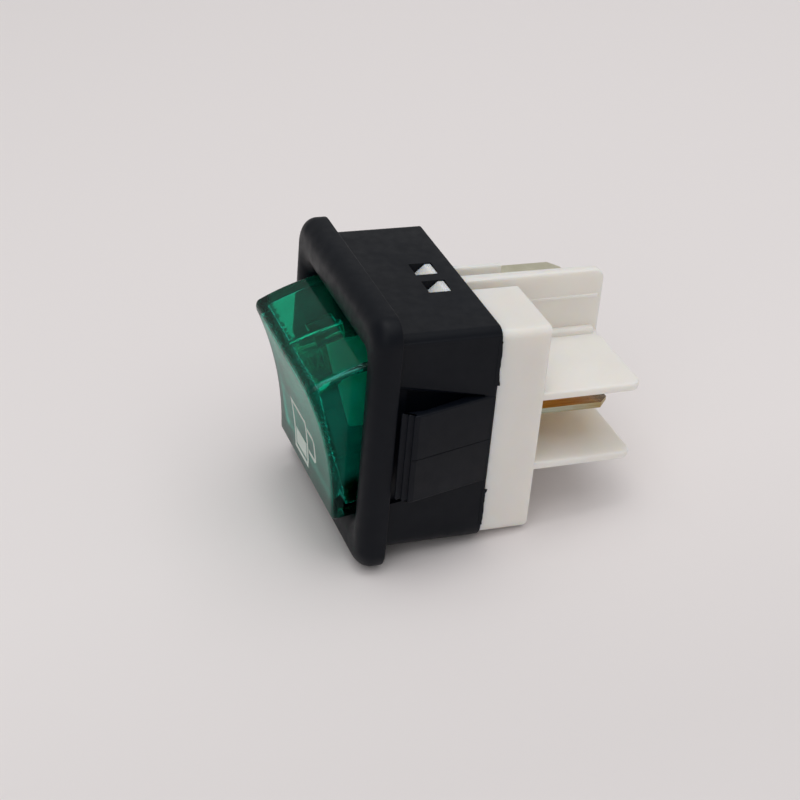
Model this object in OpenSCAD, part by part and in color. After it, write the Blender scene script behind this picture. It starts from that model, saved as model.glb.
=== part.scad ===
// Illuminated panel rocker switch: snap-in housing with bezel, translucent
// rocker, moulded terminal base with barrier fins, one switched pole and a lamp.
// Frame: X across the switch, +Y to the rear (terminals), +Z towards the raised
// end of the rocker. Origin: centre of the panel cut-out, at the panel's front face.

/* [Housing] */
// Width of the body that passes through the panel
body_w = 28.3; // [28:0.1:29]
// Height of the body that passes through the panel
body_h = 28.0; // [27.8:0.1:28.6]
// Depth of the black body behind the bezel
body_d = 12.1; // [12:0.1:12.4]
// Wall thickness of the body
wall = 1.5; // [1.4:0.05:1.6]
// Outer corner radius of the body
body_r = 1.5; // [1:0.1:2.5]
// Bezel width
bezel_w = 30.7; // [30.5:0.1:32]
// Bezel height
bezel_h = 32.35; // [31.5:0.05:33.5]
// Bezel thickness in front of the panel
bezel_t = 3.2; // [3:0.1:3.6]
// Edge rounding of the bezel
bezel_e = 2.0; // [1.2:0.1:2]
// Bezel corner radius seen from the front
bezel_r = 2.8; // [2.5:0.1:4]
// Width of the rocker opening
open_w = 23.4; // [22.4:0.1:23.6]
// Height of the rocker opening
open_h = 21.4; // [21.2:0.1:21.8]

/* [Snap wings] */
// Height of each wing
wing_h = 11.3; // [9:0.1:12]
// Projection of the wing's free end from the side wall
wing_out = 2.65; // [2:0.05:3]
// Height of the opening around each wing at its free end
wing_slot = 15.0; // [14.2:0.1:15.4]

/* [Rocker] */
// Width of the rocker
rock_w = 22.1; // [21.6:0.1:22.3]
// Length of the rocker across its curved ends
rock_l = 19.6; // [19.2:0.1:19.8]
// Depth from the pivot to the middle of the dished face
rock_m = 6.35; // [6.2:0.05:6.5]
// Radius of the dished front face
dish_r = 43; // [40:1:60]
// Wall thickness of the rocker shell
rock_wall = 1.3; // [1.1:0.1:1.5]
// Tilt of the rocker at each end of its travel, in degrees
tilt = 15.2; // [13:0.1:15.5]
// Distance of the pivot in front of the panel face
pivot_f = 0.3; // [0.2:0.05:0.5]
// Radius of the rocker's trunnions
trunnion_r = 1.2; // [1:0.05:1.3]

/* [Base] */
// Depth of the base's rear face behind the panel face
base_y = 18.2; // [17.5:0.1:19]
// Height of the base block
base_h = 27.3; // [26.5:0.1:27.8]
// Depth of the rear edge of the barrier fins
fin_y = 30.6; // [30:0.1:32]
// Thickness of the horizontal fins
fin_t = 1.0; // [0.8:0.05:1.2]
// Height of the horizontal fins above and below the centre line
fin_z = 4.62; // [4.4:0.02:4.8]
// Thickness of the upright fin at its root
post_t = 1.7; // [1.4:0.05:1.8]

/* [Terminals] */
// Width of the tab
tab_w = 6.3; // [6.2:0.05:6.4]
// Thickness of the tab
tab_t = 0.8; // [0.75:0.05:0.8]
// Depth of the tab tips behind the panel face
tab_y = 29.2; // [28.6:0.1:29.6]
// Sideways place of the tab rows
tab_x = 6.5; // [6.4:0.05:6.6]
// Height of the upper tab
tab_z = 9.1; // [9:0.05:9.2]

/* [Hidden] */
$fn = 48;

fit = 0.05;                       // running clearance on radius
hook_x = 0.4;                     // middle of each pair of hooks
floor_y = 10.4;                   // front face of the base floor
fulcrum_y = 8.2;                  // axis of the contact bridge
bridge_tilt = 7;                  // bridge angle at each end of its travel
bridge_v = 14;                    // angle of each bridge arm
rock_in = 5.45;                   // pivot to the inside of the front wall
plunger_l = 7.05;                 // pivot to centre of the plunger's tip
plunger_r = 1.55;
tip_r = 0.8;
lamp_x = 6.5;
lamp_y = 6.0;
res_y = 8.3;
res_z = -9.6;

// --- helpers -------------------------------------------------------------
module rr(w, h, r) {
  square([w - 2*r, h], center = true);
  square([w, h - 2*r], center = true);
  for (i = [-1, 1], j = [-1, 1])
    translate([i*(w/2 - r), j*(h/2 - r)]) circle(r);
}
// outlines drawn in X,Z and carried along Y
module yprism(y0, y1) {
  translate([0, y1, 0]) rotate([90, 0, 0]) linear_extrude(height = y1 - y0) children();
}
// outlines drawn in Y,Z and carried along X
module xprism(x0, x1) {
  translate([x0, 0, 0]) rotate([90, 0, 90]) linear_extrude(height = x1 - x0) children();
}
// outlines drawn in X,Y and carried along Z
module zprism(z0, z1) {
  translate([0, 0, z0]) linear_extrude(height = z1 - z0) children();
}
module box(x0, x1, y0, y1, z0, z1) {
  translate([x0, y0, z0]) cube([x1 - x0, y1 - y0, z1 - z0]);
}
module xcyl(x0, x1, r) { translate([x0, 0, 0]) rotate([0, 90, 0]) cylinder(h = x1 - x0, r = r); }
module ycyl(y0, y1, r) { translate([0, y1, 0]) rotate([90, 0, 0]) cylinder(h = y1 - y0, r = r); }
// a round wire bent along a path of points
function unit(v) = v/norm(v);
function along(p, i) = i == 0 ? unit(p[1] - p[0]) : i == len(p) - 1 ? unit(p[i] - p[i - 1])
  : unit(unit(p[i] - p[i - 1]) + unit(p[i + 1] - p[i]));
module wire(p, r) {
  k = 12;
  n = len(p) - 1;
  pts = [for (i = [0 : n]) let (t = along(p, i), u = unit(cross(t, [0.31, 0.52, 0.79])), w = cross(t, u))
         for (j = [0 : k - 1]) p[i] + r*(cos(360*j/k)*u + sin(360*j/k)*w)];
  faces = concat([[for (j = [0 : k - 1]) j]],
    [for (i = [0 : n - 1], j = [0 : k - 1])
      [i*k + j, (i + 1)*k + j, (i + 1)*k + (j + 1) % k, i*k + (j + 1) % k]],
    [[for (j = [k - 1 : -1 : 0]) n*k + j]]);
  polyhedron(points = pts, faces = faces, convexity = 6);
}
// the rocker's own frame: pivot at the origin, front towards -Y
module rocker_frame() { translate([0, -pivot_f, 0]) rotate([tilt, 0, 0]) children(); }
// the bridge's own frame: fulcrum at the origin
module bridge_frame() { translate([-tab_x, fulcrum_y, 0]) rotate([-bridge_tilt, 0, 0]) children(); }

// --- housing -------------------------------------------------------------
module half_round(r) {
  intersection() { circle(r); translate([-r, -r]) square([2*r, r]); }
}
module bezel_solid() {
  e = bezel_e;
  w = bezel_w/2;
  h = bezel_h/2;
  yprism(e - bezel_t, 0) rr(bezel_w, bezel_h, bezel_r);
  yprism(-bezel_t, e - bezel_t) rr(bezel_w - 2*e, bezel_h - 2*e, bezel_r - e);
  translate([0, e - bezel_t, 0]) for (s = [-1, 1]) {
    translate([0, 0, s*(h - e)]) xprism(bezel_r - w, w - bezel_r) rotate(-90) half_round(e);
    translate([s*(w - e), 0, 0]) zprism(bezel_r - h, h - bezel_r) half_round(e);
    for (t = [-1, 1]) translate([s*(w - bezel_r), 0, t*(h - bezel_r)])
      rotate([90, 0, 0]) rotate_extrude() translate([bezel_r - e, 0])
        intersection() { circle(e); square([e, e]); }
  }
}
// plan outline of one snap wing: root at the rear, three steps at the free end
module wing_plan() {
  s = body_w/2;
  o = wing_out;
  polygon([[s - wall, body_d], [s, body_d], [s + 0.06, body_d - 0.4],
    [s + o, 2.1], [s + o, 1.5], [s + o - 0.45, 1.5], [s + o - 0.45, 0.9],
    [s + o - 0.87, 0.9], [s + o - 0.87, 0.3], [s + o - 1.25, 0.3], [s + o - 1.28, 3.0],
    [s - wall + 0.25, body_d - 1.3]]);
}
// side outline of the opening around a wing, between two depths
function slot_h(y) = wing_slot/2 - (wing_slot - wing_h - 0.06)/2*(y - 0.3)/(body_d - 1.6);
module slot_side(y0, y1) {
  polygon([[y0, -slot_h(y0)], [y0, slot_h(y0)], [y1, slot_h(y1)], [y1, -slot_h(y1)]]);
}
module hook_windows(y0, y1, z0, z1) {
  for (i = [-1, 1]) box(hook_x + i*2.25 - 1.43, hook_x + i*2.25 + 1.43, y0, y1, z0, z1);
}
module housing() color("#26272b") {
  difference() {
    union() {
      bezel_solid();
      yprism(-1, body_d) rr(body_w, body_h, body_r);
    }
    // opening for the rocker, with a flared mouth
    yprism(-bezel_t - 1, 2.3) rr(open_w, open_h, 1.8);
    hull() {
      yprism(-bezel_t + bezel_e, -bezel_t + bezel_e + 0.01) rr(open_w, open_h, 1.8);
      yprism(-bezel_t - 0.1, -bezel_t - 0.05) rr(open_w + 2*bezel_e, open_h + 2*bezel_e, 3.0);
    }
    // inside of the body
    yprism(2.2, body_d + 1) rr(body_w - 2*wall, body_h - 2*wall, 0.6);
    // trunnion bores
    for (m = [0, 1]) mirror([m, 0, 0]) translate([0, -pivot_f, 0])
      xcyl(open_w/2 - 0.5, open_w/2 + 1.5, trunnion_r + fit);
    // openings around the wings, narrowing towards the roots
    for (m = [0, 1]) mirror([m, 0, 0]) {
      xprism(body_w/2 - wall - 0.3, body_w/2 + 1) slot_side(1.6, body_d - 1.3);
      xprism(body_w/2 - 0.7, body_w/2 + 1) slot_side(0.3, 1.7);
    }
    // hook windows above and below
    hook_windows(6.95, 9.8, body_h/2 - wall - 1, body_h/2 + 1);
    hook_windows(6.95, 9.8, -body_h/2 - 1, -body_h/2 + wall + 1);
  }
  for (m = [0, 1]) mirror([m, 0, 0]) {
    zprism(-wing_h/2, wing_h/2) wing_plan();
    // closed pocket behind each wing
    xi = open_w/2;
    box(xi, xi + 0.7, 1.5, floor_y - 0.1, -wing_slot/2 - 0.7, wing_slot/2 + 0.7);
    for (s = [-1, 1]) box(xi, body_w/2 - wall + 0.2, 1.5, floor_y - 0.1,
      s*(wing_slot/2 + 0.35) - 0.35, s*(wing_slot/2 + 0.35) + 0.35);
  }
}

// --- rocker --------------------------------------------------------------
// half length of the rocker at depth v; the raised end is curved more than the other
function end_u(v, k) = rock_l/2 - k*pow(v - 0.5, 2);
// side outline in Y,Z of the rocker's own frame between two depths
module rocker_ends(v0, v1, in) {
  n = 12;
  polygon(concat(
    [for (i = [0 : n]) let (v = v0 + (v1 - v0)*i/n) [v, end_u(v, 0.0175) - in]],
    [for (i = [n : -1 : 0]) let (v = v0 + (v1 - v0)*i/n) [v, in - end_u(v, 0.006)]]));
}
// dished front, open rear
module rocker_side() {
  difference() {
    rocker_ends(-rock_m - 2, 2.2, 0);
    translate([-rock_m - dish_r, 1.1]) circle(dish_r, $fn = 180);
  }
}
module rocker_lens() color("#0a8f68", 0.85) rocker_frame() {
  difference() {
    union() {
      difference() {
        xprism(-rock_w/2, rock_w/2) rocker_side();
        xprism(-rock_w/2 + rock_wall, rock_w/2 - rock_wall) rocker_ends(-rock_in, 3.2, rock_wall);
      }
      // guide for the plunger
      translate([-tab_x, 0, 0]) ycyl(-rock_in - 0.15, 3.2, 2.5);
      // stiffening ribs inside both end walls, and a pad behind the raised end
      box(-0.6, 0.6, -rock_in - 0.15, 0.8, 6.9, 8.6);
      box(-0.6, 0.6, -rock_in - 0.15, 0.8, -8.6, -6.9);
      box(-2.4, 2.4, -2.9, 0.3, 7.7, 8.6);
    }
    translate([-tab_x, 0, 0]) ycyl(-4.0, 4, plunger_r + fit);
  }
  for (m = [0, 1]) mirror([m, 0, 0]) xcyl(rock_w/2 - 0.5, open_w/2 + 1.3, trunnion_r);
}
module plunger() color("#e8e6da") rocker_frame() translate([-tab_x, 0, 0]) difference() {
  rotate([-90, 0, 0]) rotate_extrude() polygon(concat(
    [[0, -0.8], [plunger_r, -0.8], [plunger_r, 4.4], [tip_r + 0.05, 6.2]],
    [for (a = [0 : 10 : 80]) [tip_r*cos(a), plunger_l + tip_r*sin(a)]],
    [[0, plunger_l + tip_r]]));
  ycyl(-2, 3.0, 1.1);
}
// compression spring: a round wire swept along a helix
function helix(t) = [0.72*cos(360*t), 0, 0.72*sin(360*t)];
module plunger_spring() color("#b9bcc0") rocker_frame() translate([-tab_x, 0, 0]) {
  turns = 7; seg_n = 20; k = 8; wr = 0.16;
  y0 = -3.8; y1 = 2.8;
  n = turns*seg_n;
  pitch = (y1 - y0)/turns;
  pts = [for (i = [0 : n]) let (a = 360*i/seg_n, y = y0 + (y1 - y0)*i/n)
         for (j = [0 : k - 1]) let (b = 360*j/k)
         [(0.72 + wr*cos(b))*cos(a), y + wr*sin(b), (0.72 + wr*cos(b))*sin(a)]];
  faces = concat(
    [[for (j = [0 : k - 1]) j]],
    [for (i = [0 : n - 1], j = [0 : k - 1])
      [i*k + j, (i + 1)*k + j, (i + 1)*k + (j + 1) % k, i*k + (j + 1) % k]],
    [[for (j = [k - 1 : -1 : 0]) n*k + j]]);
  polyhedron(points = pts, faces = faces, convexity = 10);
}

// --- base ----------------------------------------------------------------
module base_outline() {
  p = post_t/2;
  difference() {
    rr(body_w, base_h, body_r);
    // open slots on both sides of the upright fin
    translate([p, fin_z]) square([3.4 - p, 20]);
    translate([-2.45, fin_z]) square([2.45 - p, 20]);
    // open upper corner beside the raised tab
    polygon([[-20, 20], [-3.25, 20], [-3.25, tab_z - tab_t/2], [-10.2, tab_z - tab_t/2],
             [-14.3, 4.6], [-20, 4.6]]);
  }
}
module hook(s) {
  mirror([0, 0, s < 0 ? 1 : 0]) {
    box(hook_x - 4.2, hook_x + 4.2, 6.5, floor_y + 0.5, 11.1, body_h/2 - wall - 0.1);
    for (i = [-1, 1]) xprism(hook_x + i*2.25 - 1.35, hook_x + i*2.25 + 1.35)
      polygon([[7.05, 12.2], [8.95, 13.92], [9.72, 13.92], [9.72, 12.2]]);
  }
}
module fin_plate() {
  translate([0, (14 + fin_y)/2]) rr(body_w, fin_y - 14, 1.4);
}
module base() color("#e4e1d8") difference() {
  union() {
    yprism(floor_y, body_d + 0.2) rr(body_w - 2*wall - 0.2, body_h - 2*wall - 0.2, 0.5);
    yprism(body_d, base_y) base_outline();
    hook(1);
    hook(-1);
    // horizontal fins
    for (s = [-1, 1]) zprism(s*fin_z - fin_t/2, s*fin_z + fin_t/2) fin_plate();
    // upright fin, thinner towards its rear edge
    intersection() {
      zprism(-base_h/2, base_h/2) polygon([[-post_t/2, body_d + 0.1], [post_t/2, body_d + 0.1],
        [post_t/2, base_y], [0.6, fin_y + 0.15], [-0.6, fin_y + 0.15], [-post_t/2, base_y]]);
      xprism(-2, 2) translate([(fin_y + 4.15)/2, 0]) rr(fin_y - 3.85, base_h - 0.7, 1.4);
    }
    // bars along the foot of the upright fin
    box(-1.5, 1.5, base_y - 0.1, fin_y - 0.7, fin_z, fin_z + fin_t/2 + 0.7);
    // lamp saddles and resistor rest with V notches
    for (z = [-4.6, 3.4]) zprism(z, z + 1.2) polygon([[lamp_x - 2.6, floor_y + 0.5], [lamp_x - 2.6, 7.6],
      [lamp_x - 2.15, 7.6], [lamp_x, 9.75], [lamp_x + 2.15, 7.6], [lamp_x + 2.6, 7.6], [lamp_x + 2.6, floor_y + 0.5]]);
    xprism(0.1, 1.3) polygon([[floor_y + 0.5, res_z - 1.5], [8.5, res_z - 1.5], [10.0, res_z],
      [8.5, res_z + 1.5], [floor_y + 0.5, res_z + 1.5]]);
    // screen between the lamp and the contacts
    xprism(-2.3, -1.5) polygon([[floor_y + 0.5, -6.0], [floor_y + 0.5, 5.0], [-2.8, 5.0], [0.4, -6.0]]);
  }
  // slots for the tabs
  for (s = [-1, 1]) box(s*tab_x - tab_w/2 - 0.08, s*tab_x + tab_w/2 + 0.08, 9, base_y + 1,
    -tab_t/2 - 0.06, tab_t/2 + 0.06);
  box(-tab_x - tab_w/2 - 0.08, -tab_x + tab_w/2 + 0.08, 9, body_d + 0.3,
    tab_z - tab_t/2 - 0.001, tab_z + tab_t/2 + 0.06);
}

// --- terminals and contacts ----------------------------------------------
// a flat tab along Y with a chamfered tip and a detent hole
module tab(y0) {
  w = tab_w/2;
  difference() {
    zprism(-tab_t/2, tab_t/2) polygon([[-w, y0], [w, y0], [w, tab_y - 1.3], [w - 1.35, tab_y],
      [-w + 1.35, tab_y], [-w, tab_y - 1.3]]);
    translate([0, tab_y - 4.0, 0]) cylinder(h = 5, r = 0.85, center = true);
    // thin leading edge
    for (s = [-1, 1]) translate([0, tab_y, s*(tab_t/2 - 0.22)]) rotate([-s*25, 0, 0])
      translate([-w - 1, -1.5, s > 0 ? 0 : -1]) cube([tab_w + 2, 2.5, 1]);
  }
}
module load_terminal() color("#b08d3e") translate([-tab_x, 0, 0]) {
  translate([0, 0, tab_z]) tab(floor_y - tab_t);
  box(-1.9, 1.9, floor_y - tab_t, floor_y, 5.4, tab_z);
}
module load_rivet() color("#c9c9c6") translate([-tab_x, 0, 6.95])
  rotate([90, 0, 0]) translate([0, 0, tab_t - floor_y]) rotate_extrude()
    polygon([[0, 0], [1.5, 0], [1.5, 0.75], [1.25, 1.1], [0, 1.15]]);
module common_terminal() color("#b08d3e") translate([-tab_x, 0, 0]) difference() {
  union() {
    tab(floor_y - tab_t);
    box(-2.4, 2.4, floor_y - tab_t, floor_y, -1.5, 1.5);
    for (s = [-1, 1]) box(s*2.0 - 0.4, s*2.0 + 0.4, 7.4, floor_y - 0.1, -1.5, 1.5);
  }
  translate([0, fulcrum_y, 0]) xcyl(-4, 4, 0.5 + fit);
  box(-4, 4, 6, fulcrum_y, -0.5 - fit, 0.5 + fit);
}
module lamp_terminal() color("#b08d3e") translate([tab_x, 0, 0]) {
  tab(floor_y - tab_t);
  box(-2, 2, floor_y - tab_t, floor_y, -1.5, 1.5);
}
module contact_bridge() color("#b87333") bridge_frame() {
  t = tan(bridge_v);
  zu = 8.2; zl = 5.6; f = -0.45; th = 0.62;
  xprism(-1.35, 1.35) polygon([[f, 0], [f - zu*t, zu], [f + th - zu*t, zu], [f + th, 0],
    [f + th - zl*t, -zl], [f - zl*t, -zl]]);
  xcyl(-2.5, 2.5, 0.5);
}
module bridge_rivet() color("#c9c9c6") bridge_frame() rotate([bridge_v, 0, 0])
  translate([0, 0.17*cos(bridge_v), 6.95]) rotate([-90, 0, 0]) rotate_extrude()
    polygon([[0, 0], [1.3, 0], [1.3, 0.45], [1.05, 0.68], [0, 0.7]]);

// --- lamp ----------------------------------------------------------------
module lamp_glass() color("#dfe9ea", 0.4) translate([lamp_x, lamp_y, 0]) difference() {
  rotate_extrude() difference() {
    union() {
      translate([0, -6]) square([2.55, 10]);
      intersection() { translate([0, 4]) circle(2.55); translate([0, 3]) square([3, 5]); }
    }
    translate([0, -4.8]) square([2.1, 8.8]);
    intersection() { translate([0, 4]) circle(2.1); translate([0, 3.9]) square([3, 5]); }
  }
  for (s = [-1, 1]) translate([s*0.9, 0, -7]) cylinder(h = 3, r = 0.32);
}
module lamp_electrodes() color("#8c8f93") for (s = [-1, 1]) translate([lamp_x + s*0.9, lamp_y, 0]) {
  translate([0, 0, -7.25]) cylinder(h = 5.5, r = 0.3);
  translate([0, 0, -3.2]) cylinder(h = 5.8, r = 0.6);
}
module lamp_resistor() color("#c8a77a") translate([0, res_y, res_z]) rotate([0, 90, 0]) rotate_extrude()
  polygon([[0, -2.6], [1.0, -2.6], [1.15, -2.4], [1.15, -1.2], [0.98, -0.8], [0.98, 2.1],
           [1.15, 2.5], [1.15, 3.7], [1.0, 3.9], [0, 3.9]]);
live_path = [[-2.6, res_y, res_z], [-3.2, res_y, res_z], [-3.2, 8.8, -8], [-3.2, 8.8, 6.2],
             [-3.2, 9.25, 8.9], [-4.9, 9.25, 8.9]];
module lead_live() color("#c0c2c4") wire(live_path, 0.3);
module lead_sleeve() color("#d8d4c0") translate([-3.2, 8.8, -7]) difference() {
  cylinder(h = 12, r = 0.6);
  translate([0, 0, -1]) cylinder(h = 14, r = 0.35);
}
module lead_link() color("#c0c2c4")
  wire([[lamp_x - 0.9, lamp_y, -7.25], [lamp_x - 0.9, lamp_y, -7.8], [lamp_x - 0.9, 7.6, -9.2],
        [lamp_x - 0.9, res_y, res_z], [3.9, res_y, res_z]], 0.3);
module lead_neutral() color("#c0c2c4")
  wire([[lamp_x + 0.9, lamp_y, -7.25], [lamp_x + 0.9, lamp_y, -7.8], [9.7, 7.4, -8.2], [9.7, 9.25, -7],
        [9.7, 9.25, -0.9], [8.0, 9.25, -0.9]], 0.3);

housing();
rocker_lens();
base();
plunger();
plunger_spring();
contact_bridge();
bridge_rivet();
load_terminal();
load_rivet();
common_terminal();
lamp_terminal();
lamp_glass();
lamp_electrodes();
lamp_resistor();
lead_live();
lead_link();
lead_neutral();
lead_sleeve();
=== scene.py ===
"""Illuminated rocker switch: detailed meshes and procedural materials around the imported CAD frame."""
import math

import bmesh
import bpy
from mathutils import Matrix, Vector


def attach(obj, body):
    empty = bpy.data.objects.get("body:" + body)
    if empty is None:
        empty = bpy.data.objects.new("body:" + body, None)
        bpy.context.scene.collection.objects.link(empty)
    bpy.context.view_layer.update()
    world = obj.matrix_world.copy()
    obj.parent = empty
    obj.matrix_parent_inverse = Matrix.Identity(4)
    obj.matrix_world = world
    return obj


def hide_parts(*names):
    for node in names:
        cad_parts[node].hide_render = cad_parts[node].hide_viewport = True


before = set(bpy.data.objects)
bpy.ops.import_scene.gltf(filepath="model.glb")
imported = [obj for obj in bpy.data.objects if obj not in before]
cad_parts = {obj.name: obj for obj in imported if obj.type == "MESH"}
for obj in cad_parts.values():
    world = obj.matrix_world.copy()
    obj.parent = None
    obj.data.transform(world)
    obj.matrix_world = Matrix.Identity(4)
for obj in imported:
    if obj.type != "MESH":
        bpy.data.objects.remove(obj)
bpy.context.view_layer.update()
MM = 0.001
scene = bpy.context.scene


# ---------------------------------------------------------------- mesh helpers
def new_obj(name, verts, faces):
    """A mesh object built in millimetres; dress() brings it to metres."""
    me = bpy.data.meshes.new(name)
    me.from_pydata([tuple(v) for v in verts], [], faces)
    me.validate()
    bm = bmesh.new()
    bm.from_mesh(me)
    bmesh.ops.recalc_face_normals(bm, faces=bm.faces)
    bm.to_mesh(me)
    bm.free()
    ob = bpy.data.objects.new(name, me)
    scene.collection.objects.link(ob)
    return ob


def rrect(a, b, r, n=8):
    """Points of a rounded rectangle, half sizes a and b, anticlockwise from the +a side; r is one radius or (upper, lower)."""
    rt, rb = r if isinstance(r, tuple) else (r, r)
    pts = []
    for sx, sy, a0, q in ((1, 1, 0, rt), (-1, 1, 90, rt), (-1, -1, 180, rb), (1, -1, 270, rb)):
        q = max(0.01, min(q, a - 0.01, b - 0.01))
        for k in range(n + 1):
            t = math.radians(a0 + 90 * k / n)
            pts.append((sx * (a - q) + q * math.cos(t), sy * (b - q) + q * math.sin(t)))
    return pts


def loft(rings, closed=False, caps=True):
    """Verts and faces through rings of equal length."""
    n = len(rings[0])
    verts = [p for ring in rings for p in ring]
    faces = []
    m = len(rings)
    for i in range(m if closed else m - 1):
        j = (i + 1) % m
        for k in range(n):
            q = (k + 1) % n
            faces.append((i * n + k, i * n + q, j * n + q, j * n + k))
    if caps and not closed:
        faces.append(tuple(range(n - 1, -1, -1)))
        faces.append(tuple((m - 1) * n + k for k in range(n)))
    return verts, faces


def round_poly(pts, n=5):
    """A polygon of (x, y, radius) corners, anticlockwise, with each corner rounded."""
    out = []
    m = len(pts)
    for i in range(m):
        p0, p1, p2 = Vector(pts[i - 1][:2]), Vector(pts[i][:2]), Vector(pts[(i + 1) % m][:2])
        r = pts[i][2] if len(pts[i]) > 2 else 0
        u, w = (p0 - p1).normalized(), (p2 - p1).normalized()
        ang = u.angle(w)
        if r <= 1e-6 or abs(ang - math.pi) < 1e-3:
            out.append((p1.x, p1.y))
            continue
        d = r / math.tan(ang / 2)
        d = min(d, 0.49 * (p0 - p1).length, 0.49 * (p2 - p1).length)
        rr = d * math.tan(ang / 2)
        c = p1 + (u + w).normalized() * (rr / math.sin(ang / 2))
        s, e = p1 + u * d - c, p1 + w * d - c
        a0 = math.atan2(s.y, s.x)
        da = math.atan2(s.x * e.y - s.y * e.x, s.dot(e))
        for k in range(n + 1):
            t = a0 + da * k / n
            out.append((c.x + rr * math.cos(t), c.y + rr * math.sin(t)))
    return out


def inset(poly, d):
    """The polygon moved inwards by d (anticlockwise polygon)."""
    if abs(d) < 1e-9:
        return list(poly)
    m = len(poly)
    out = []
    for i in range(m):
        p0, p1, p2 = Vector(poly[i - 1]), Vector(poly[i]), Vector(poly[(i + 1) % m])
        e1, e2 = (p1 - p0).normalized(), (p2 - p1).normalized()
        n1, n2 = Vector((-e1.y, e1.x)), Vector((-e2.y, e2.x))
        k = 1 + n1.dot(n2)
        v = (n1 + n2) / max(k, 0.25)
        out.append((p1.x + v.x * d, p1.y + v.y * d))
    return out


def prism(name, poly, lo, hi, axis, r_lo=0.0, r_hi=0.0, seg=3):
    """A polygon carried along an axis with rounded end rims. axis x takes (y, z), y takes (x, z), z takes (x, y)."""
    area = sum(poly[i - 1][0] * poly[i][1] - poly[i][0] * poly[i - 1][1] for i in range(len(poly)))
    if area < 0:
        poly = poly[::-1]
    levels = []
    if r_lo > 0:
        for k in range(seg + 1):
            t = math.radians(90 * k / seg)
            levels.append((lo + r_lo * (1 - math.sin(t)), r_lo * (1 - math.cos(t))))
        levels = levels[::-1]
    else:
        levels.append((lo, 0.0))
    if r_hi > 0:
        for k in range(seg + 1):
            t = math.radians(90 * k / seg)
            levels.append((hi - r_hi * (1 - math.sin(t)), r_hi * (1 - math.cos(t))))
    else:
        levels.append((hi, 0.0))
    put = {"x": lambda h, p: (h, p[0], p[1]), "y": lambda h, p: (p[0], h, p[1]), "z": lambda h, p: (p[0], p[1], h)}[axis]
    rings = [[put(h, p) for p in inset(poly, d)] for h, d in levels]
    v, f = loft(rings)
    return new_obj(name, v, f)


def box_obj(name, x0, x1, y0, y1, z0, z1, r=0.0):
    """A box with rounded edges."""
    poly = round_poly([(x0, z0, r), (x1, z0, r), (x1, z1, r), (x0, z1, r)], 3)
    return prism(name, poly, y0, y1, "y", r, r)


def turned(name, profile, axis, at, n=48):
    """A turned solid from (radius, height) points along an axis through a point."""
    rings = []
    for rad, h in profile:
        ring = []
        for k in range(n):
            t = 2 * math.pi * k / n
            a, b = max(rad, 0.003) * math.cos(t), max(rad, 0.003) * math.sin(t)
            p = {"x": (h, a, b), "y": (a, h, b), "z": (a, b, h)}[axis]
            ring.append((p[0] + at[0], p[1] + at[1], p[2] + at[2]))
        rings.append(ring)
    v, f = loft(rings)
    return new_obj(name, v, f)


def jitter(j, k):
    """A repeatable value from -1 to 1 for two whole numbers."""
    h = math.sin(j * 12.9898 + k * 78.233) * 43758.5453
    return 2 * (h - math.floor(h)) - 1


def bake(ob):
    """Replaces an object's mesh by its evaluated mesh and clears its modifiers."""
    dg = bpy.context.evaluated_depsgraph_get()
    me = bpy.data.meshes.new_from_object(ob.evaluated_get(dg))
    old = ob.data
    ob.modifiers.clear()
    ob.data = me
    bpy.data.meshes.remove(old)


def boolean(ob, other, op):
    """Applies a boolean of closed meshes and removes the other object."""
    md = ob.modifiers.new("cut", "BOOLEAN")
    md.operation = op
    md.solver = "MANIFOLD"
    md.object = other
    bpy.context.view_layer.update()
    bake(ob)
    me = other.data
    bpy.data.objects.remove(other)
    bpy.data.meshes.remove(me)


def tidy(ob, angle=32, weld=0.002):
    """Welds close points, drops needle faces and sets smooth shading with sharp edges by angle."""
    me = ob.data
    bm = bmesh.new()
    bm.from_mesh(me)
    bmesh.ops.remove_doubles(bm, verts=bm.verts, dist=weld)
    bmesh.ops.dissolve_degenerate(bm, edges=bm.edges, dist=weld)
    bmesh.ops.recalc_face_normals(bm, faces=bm.faces)
    for f in bm.faces:
        f.smooth = True
    bm.to_mesh(me)
    bm.free()
    me.set_sharp_from_angle(angle=math.radians(angle))


def join(obs, name):
    """Joins objects into one mesh."""
    bm = bmesh.new()
    for o in obs:
        bm.from_mesh(o.data)
    me = bpy.data.meshes.new(name)
    bm.to_mesh(me)
    bm.free()
    for o in obs:
        m = o.data
        bpy.data.objects.remove(o)
        bpy.data.meshes.remove(m)
    ob = bpy.data.objects.new(name, me)
    scene.collection.objects.link(ob)
    return ob


# ---------------------------------------------------------------- materials
def material(name):
    m = bpy.data.materials.new(name)
    m.use_nodes = True
    nt = m.node_tree
    nt.nodes.clear()
    out = nt.nodes.new("ShaderNodeOutputMaterial")
    b = nt.nodes.new("ShaderNodeBsdfPrincipled")
    nt.links.new(b.outputs[0], out.inputs["Surface"])
    return m, nt, b


def coords(nt, scale=1000.0):
    """Object coordinates in millimetres times scale/1000."""
    tc = nt.nodes.new("ShaderNodeTexCoord")
    mp = nt.nodes.new("ShaderNodeMapping")
    mp.inputs["Scale"].default_value = (scale, scale, scale)
    nt.links.new(tc.outputs["Object"], mp.inputs["Vector"])
    return mp.outputs["Vector"]


def noise(nt, vec, scale, detail=3.0, rough=0.55, distortion=0.0):
    n = nt.nodes.new("ShaderNodeTexNoise")
    n.inputs["Scale"].default_value = scale
    n.inputs["Detail"].default_value = detail
    n.inputs["Roughness"].default_value = rough
    n.inputs["Distortion"].default_value = distortion
    nt.links.new(vec, n.inputs["Vector"])
    return n


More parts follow.
